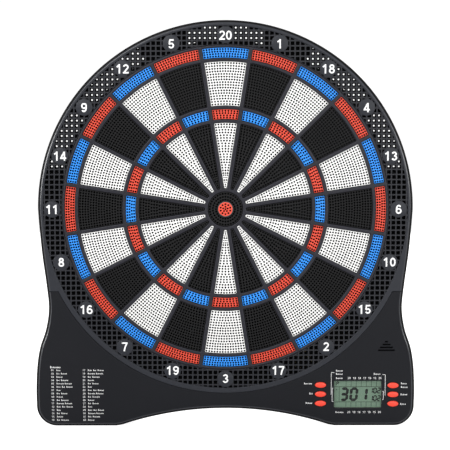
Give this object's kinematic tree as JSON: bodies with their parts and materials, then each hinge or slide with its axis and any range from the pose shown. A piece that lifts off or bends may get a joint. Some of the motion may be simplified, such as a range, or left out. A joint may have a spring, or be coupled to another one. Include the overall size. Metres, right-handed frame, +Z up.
{
  "type": "electronic dartboard",
  "caption": "Wall-hung electronic soft-tip dartboard: pocketed catch ring, spider, sprung target beds, console with display, oval buttons and speaker grille.",
  "frame": {"origin": "where the bull's axis meets the wall, on the rear face of the rear cover", "axes": "+X to the player's right, +Y into the wall along the bull's axis, +Z up"},
  "size_m": [0.4092, 0.0272, 0.4365],
  "materials": {
    "housing_plastic": "fine satin moulding, charcoal",
    "rear_plastic": "fine matt moulding, near black",
    "spider_plastic": "satin moulding, charcoal",
    "segment_white": "satin moulded thermoplastic",
    "segment_black": "satin moulded thermoplastic",
    "segment_red": "satin moulded thermoplastic",
    "segment_blue": "satin moulded thermoplastic",
    "button_red": "soft satin silicone",
    "print_white": "pad-printed ink",
    "lens_clear": "clear acrylic window",
    "lcd_glass": "reflective grey-green liquid crystal display",
    "circuit_board": "solder mask over glass laminate",
    "membrane_film": "translucent polyester film",
    "mat_rubber": "matt silicone sheet",
    "speaker_metal": "painted pressed steel",
    "battery_steel": "printed steel jacket",
    "screw_steel": "zinc-plated steel"
  },
  "bodies": {
    "root": {"ring_frame": "housing_plastic", "console_panel": "housing_plastic", "rear_cover": "rear_plastic", "spider": "spider_plastic", "switch_membrane": "membrane_film", "return_mat": "mat_rubber", "display_lens": "lens_clear", "lcd_module": "lcd_glass", "circuit_board": "circuit_board", "speaker": "speaker_metal", "battery_cells": "battery_steel"},
    "button_power": {"button_power": "button_red"},
    "button_up": {"button_up": "button_red"},
    "button_down": {"button_down": "button_red"},
    "button_game": {"button_game": "button_red"},
    "button_start": {"button_start": "button_red"},
    "button_next": {"button_next": "button_red"},
    "battery_door": {"battery_door": "rear_plastic"},
    "outer_bull": {"outer_bull": "segment_black"},
    "inner_bull": {"inner_bull": "segment_red"},
    "outer_bed_01": {"outer_bed_01": "segment_white"},
    "outer_bed_02": {"outer_bed_02": "segment_black"},
    "outer_bed_03": {"outer_bed_03": "segment_white"},
    "outer_bed_04": {"outer_bed_04": "segment_black"},
    "outer_bed_05": {"outer_bed_05": "segment_white"},
    "outer_bed_06": {"outer_bed_06": "segment_black"},
    "outer_bed_07": {"outer_bed_07": "segment_white"},
    "outer_bed_08": {"outer_bed_08": "segment_black"},
    "outer_bed_09": {"outer_bed_09": "segment_white"},
    "outer_bed_10": {"outer_bed_10": "segment_black"},
    "outer_bed_11": {"outer_bed_11": "segment_white"},
    "outer_bed_12": {"outer_bed_12": "segment_black"},
    "outer_bed_13": {"outer_bed_13": "segment_white"},
    "outer_bed_14": {"outer_bed_14": "segment_black"},
    "outer_bed_15": {"outer_bed_15": "segment_white"},
    "outer_bed_16": {"outer_bed_16": "segment_black"},
    "outer_bed_17": {"outer_bed_17": "segment_white"},
    "outer_bed_18": {"outer_bed_18": "segment_black"},
    "outer_bed_19": {"outer_bed_19": "segment_white"},
    "outer_bed_20": {"outer_bed_20": "segment_black"},
    "inner_bed_01": {"inner_bed_01": "segment_white"},
    "inner_bed_02": {"inner_bed_02": "segment_black"},
    "inner_bed_03": {"inner_bed_03": "segment_white"},
    "inner_bed_04": {"inner_bed_04": "segment_black"},
    "inner_bed_05": {"inner_bed_05": "segment_white"},
    "inner_bed_06": {"inner_bed_06": "segment_black"},
    "inner_bed_07": {"inner_bed_07": "segment_white"},
    "inner_bed_08": {"inner_bed_08": "segment_black"},
    "inner_bed_09": {"inner_bed_09": "segment_white"},
    "inner_bed_10": {"inner_bed_10": "segment_black"},
    "inner_bed_11": {"inner_bed_11": "segment_white"},
    "inner_bed_12": {"inner_bed_12": "segment_black"},
    "inner_bed_13": {"inner_bed_13": "segment_white"},
    "inner_bed_14": {"inner_bed_14": "segment_black"},
    "inner_bed_15": {"inner_bed_15": "segment_white"},
    "inner_bed_16": {"inner_bed_16": "segment_black"},
    "inner_bed_17": {"inner_bed_17": "segment_white"},
    "inner_bed_18": {"inner_bed_18": "segment_black"},
    "inner_bed_19": {"inner_bed_19": "segment_white"},
    "inner_bed_20": {"inner_bed_20": "segment_black"}
  },
  "joints": [
    {"name": "button_power_press", "type": "slide", "parent": "root", "child": "button_power", "axis": [0, 1, 0], "range_m": [0, 0.001], "stiffness_N_per_m": 400},
    {"name": "button_up_press", "type": "slide", "parent": "root", "child": "button_up", "axis": [0, 1, 0], "range_m": [0, 0.001], "stiffness_N_per_m": 400},
    {"name": "button_down_press", "type": "slide", "parent": "root", "child": "button_down", "axis": [0, 1, 0], "range_m": [0, 0.001], "stiffness_N_per_m": 400},
    {"name": "button_game_press", "type": "slide", "parent": "root", "child": "button_game", "axis": [0, 1, 0], "range_m": [0, 0.001], "stiffness_N_per_m": 400},
    {"name": "button_start_press", "type": "slide", "parent": "root", "child": "button_start", "axis": [0, 1, 0], "range_m": [0, 0.001], "stiffness_N_per_m": 400},
    {"name": "button_next_press", "type": "slide", "parent": "root", "child": "button_next", "axis": [0, 1, 0], "range_m": [0, 0.001], "stiffness_N_per_m": 400},
    {"name": "battery_door_lift", "type": "slide", "parent": "root", "child": "battery_door", "axis": [0, 1, 0], "range_m": [0, 0.03]},
    {"name": "outer_bull_press", "type": "slide", "parent": "root", "child": "outer_bull", "axis": [0, 1, 0], "range_m": [0, 0.0012], "stiffness_N_per_m": 900},
    {"name": "inner_bull_press", "type": "slide", "parent": "root", "child": "inner_bull", "axis": [0, 1, 0], "range_m": [0, 0.0012], "stiffness_N_per_m": 900},
    {"name": "outer_bed_01_press", "type": "slide", "parent": "root", "child": "outer_bed_01", "axis": [0, 1, 0], "range_m": [0, 0.0012], "stiffness_N_per_m": 1200},
    {"name": "outer_bed_02_press", "type": "slide", "parent": "root", "child": "outer_bed_02", "axis": [0, 1, 0], "range_m": [0, 0.0012], "stiffness_N_per_m": 1200},
    {"name": "outer_bed_03_press", "type": "slide", "parent": "root", "child": "outer_bed_03", "axis": [0, 1, 0], "range_m": [0, 0.0012], "stiffness_N_per_m": 1200},
    {"name": "outer_bed_04_press", "type": "slide", "parent": "root", "child": "outer_bed_04", "axis": [0, 1, 0], "range_m": [0, 0.0012], "stiffness_N_per_m": 1200},
    {"name": "outer_bed_05_press", "type": "slide", "parent": "root", "child": "outer_bed_05", "axis": [0, 1, 0], "range_m": [0, 0.0012], "stiffness_N_per_m": 1200},
    {"name": "outer_bed_06_press", "type": "slide", "parent": "root", "child": "outer_bed_06", "axis": [0, 1, 0], "range_m": [0, 0.0012], "stiffness_N_per_m": 1200},
    {"name": "outer_bed_07_press", "type": "slide", "parent": "root", "child": "outer_bed_07", "axis": [0, 1, 0], "range_m": [0, 0.0012], "stiffness_N_per_m": 1200},
    {"name": "outer_bed_08_press", "type": "slide", "parent": "root", "child": "outer_bed_08", "axis": [0, 1, 0], "range_m": [0, 0.0012], "stiffness_N_per_m": 1200},
    {"name": "outer_bed_09_press", "type": "slide", "parent": "root", "child": "outer_bed_09", "axis": [0, 1, 0], "range_m": [0, 0.0012], "stiffness_N_per_m": 1200},
    {"name": "outer_bed_10_press", "type": "slide", "parent": "root", "child": "outer_bed_10", "axis": [0, 1, 0], "range_m": [0, 0.0012], "stiffness_N_per_m": 1200},
    {"name": "outer_bed_11_press", "type": "slide", "parent": "root", "child": "outer_bed_11", "axis": [0, 1, 0], "range_m": [0, 0.0012], "stiffness_N_per_m": 1200},
    {"name": "outer_bed_12_press", "type": "slide", "parent": "root", "child": "outer_bed_12", "axis": [0, 1, 0], "range_m": [0, 0.0012], "stiffness_N_per_m": 1200},
    {"name": "outer_bed_13_press", "type": "slide", "parent": "root", "child": "outer_bed_13", "axis": [0, 1, 0], "range_m": [0, 0.0012], "stiffness_N_per_m": 1200},
    {"name": "outer_bed_14_press", "type": "slide", "parent": "root", "child": "outer_bed_14", "axis": [0, 1, 0], "range_m": [0, 0.0012], "stiffness_N_per_m": 1200},
    {"name": "outer_bed_15_press", "type": "slide", "parent": "root", "child": "outer_bed_15", "axis": [0, 1, 0], "range_m": [0, 0.0012], "stiffness_N_per_m": 1200},
    {"name": "outer_bed_16_press", "type": "slide", "parent": "root", "child": "outer_bed_16", "axis": [0, 1, 0], "range_m": [0, 0.0012], "stiffness_N_per_m": 1200},
    {"name": "outer_bed_17_press", "type": "slide", "parent": "root", "child": "outer_bed_17", "axis": [0, 1, 0], "range_m": [0, 0.0012], "stiffness_N_per_m": 1200},
    {"name": "outer_bed_18_press", "type": "slide", "parent": "root", "child": "outer_bed_18", "axis": [0, 1, 0], "range_m": [0, 0.0012], "stiffness_N_per_m": 1200},
    {"name": "outer_bed_19_press", "type": "slide", "parent": "root", "child": "outer_bed_19", "axis": [0, 1, 0], "range_m": [0, 0.0012], "stiffness_N_per_m": 1200},
    {"name": "outer_bed_20_press", "type": "slide", "parent": "root", "child": "outer_bed_20", "axis": [0, 1, 0], "range_m": [0, 0.0012], "stiffness_N_per_m": 1200},
    {"name": "inner_bed_01_press", "type": "slide", "parent": "root", "child": "inner_bed_01", "axis": [0, 1, 0], "range_m": [0, 0.0012], "stiffness_N_per_m": 1200},
    {"name": "inner_bed_02_press", "type": "slide", "parent": "root", "child": "inner_bed_02", "axis": [0, 1, 0], "range_m": [0, 0.0012], "stiffness_N_per_m": 1200},
    {"name": "inner_bed_03_press", "type": "slide", "parent": "root", "child": "inner_bed_03", "axis": [0, 1, 0], "range_m": [0, 0.0012], "stiffness_N_per_m": 1200},
    {"name": "inner_bed_04_press", "type": "slide", "parent": "root", "child": "inner_bed_04", "axis": [0, 1, 0], "range_m": [0, 0.0012], "stiffness_N_per_m": 1200},
    {"name": "inner_bed_05_press", "type": "slide", "parent": "root", "child": "inner_bed_05", "axis": [0, 1, 0], "range_m": [0, 0.0012], "stiffness_N_per_m": 1200},
    {"name": "inner_bed_06_press", "type": "slide", "parent": "root", "child": "inner_bed_06", "axis": [0, 1, 0], "range_m": [0, 0.0012], "stiffness_N_per_m": 1200},
    {"name": "inner_bed_07_press", "type": "slide", "parent": "root", "child": "inner_bed_07", "axis": [0, 1, 0], "range_m": [0, 0.0012], "stiffness_N_per_m": 1200},
    {"name": "inner_bed_08_press", "type": "slide", "parent": "root", "child": "inner_bed_08", "axis": [0, 1, 0], "range_m": [0, 0.0012], "stiffness_N_per_m": 1200},
    {"name": "inner_bed_09_press", "type": "slide", "parent": "root", "child": "inner_bed_09", "axis": [0, 1, 0], "range_m": [0, 0.0012], "stiffness_N_per_m": 1200},
    {"name": "inner_bed_10_press", "type": "slide", "parent": "root", "child": "inner_bed_10", "axis": [0, 1, 0], "range_m": [0, 0.0012], "stiffness_N_per_m": 1200},
    {"name": "inner_bed_11_press", "type": "slide", "parent": "root", "child": "inner_bed_11", "axis": [0, 1, 0], "range_m": [0, 0.0012], "stiffness_N_per_m": 1200},
    {"name": "inner_bed_12_press", "type": "slide", "parent": "root", "child": "inner_bed_12", "axis": [0, 1, 0], "range_m": [0, 0.0012], "stiffness_N_per_m": 1200},
    {"name": "inner_bed_13_press", "type": "slide", "parent": "root", "child": "inner_bed_13", "axis": [0, 1, 0], "range_m": [0, 0.0012], "stiffness_N_per_m": 1200},
    {"name": "inner_bed_14_press", "type": "slide", "parent": "root", "child": "inner_bed_14", "axis": [0, 1, 0], "range_m": [0, 0.0012], "stiffness_N_per_m": 1200},
    {"name": "inner_bed_15_press", "type": "slide", "parent": "root", "child": "inner_bed_15", "axis": [0, 1, 0], "range_m": [0, 0.0012], "stiffness_N_per_m": 1200},
    {"name": "inner_bed_16_press", "type": "slide", "parent": "root", "child": "inner_bed_16", "axis": [0, 1, 0], "range_m": [0, 0.0012], "stiffness_N_per_m": 1200},
    {"name": "inner_bed_17_press", "type": "slide", "parent": "root", "child": "inner_bed_17", "axis": [0, 1, 0], "range_m": [0, 0.0012], "stiffness_N_per_m": 1200},
    {"name": "inner_bed_18_press", "type": "slide", "parent": "root", "child": "inner_bed_18", "axis": [0, 1, 0], "range_m": [0, 0.0012], "stiffness_N_per_m": 1200},
    {"name": "inner_bed_19_press", "type": "slide", "parent": "root", "child": "inner_bed_19", "axis": [0, 1, 0], "range_m": [0, 0.0012], "stiffness_N_per_m": 1200},
    {"name": "inner_bed_20_press", "type": "slide", "parent": "root", "child": "inner_bed_20", "axis": [0, 1, 0], "range_m": [0, 0.0012], "stiffness_N_per_m": 1200}
  ]
}
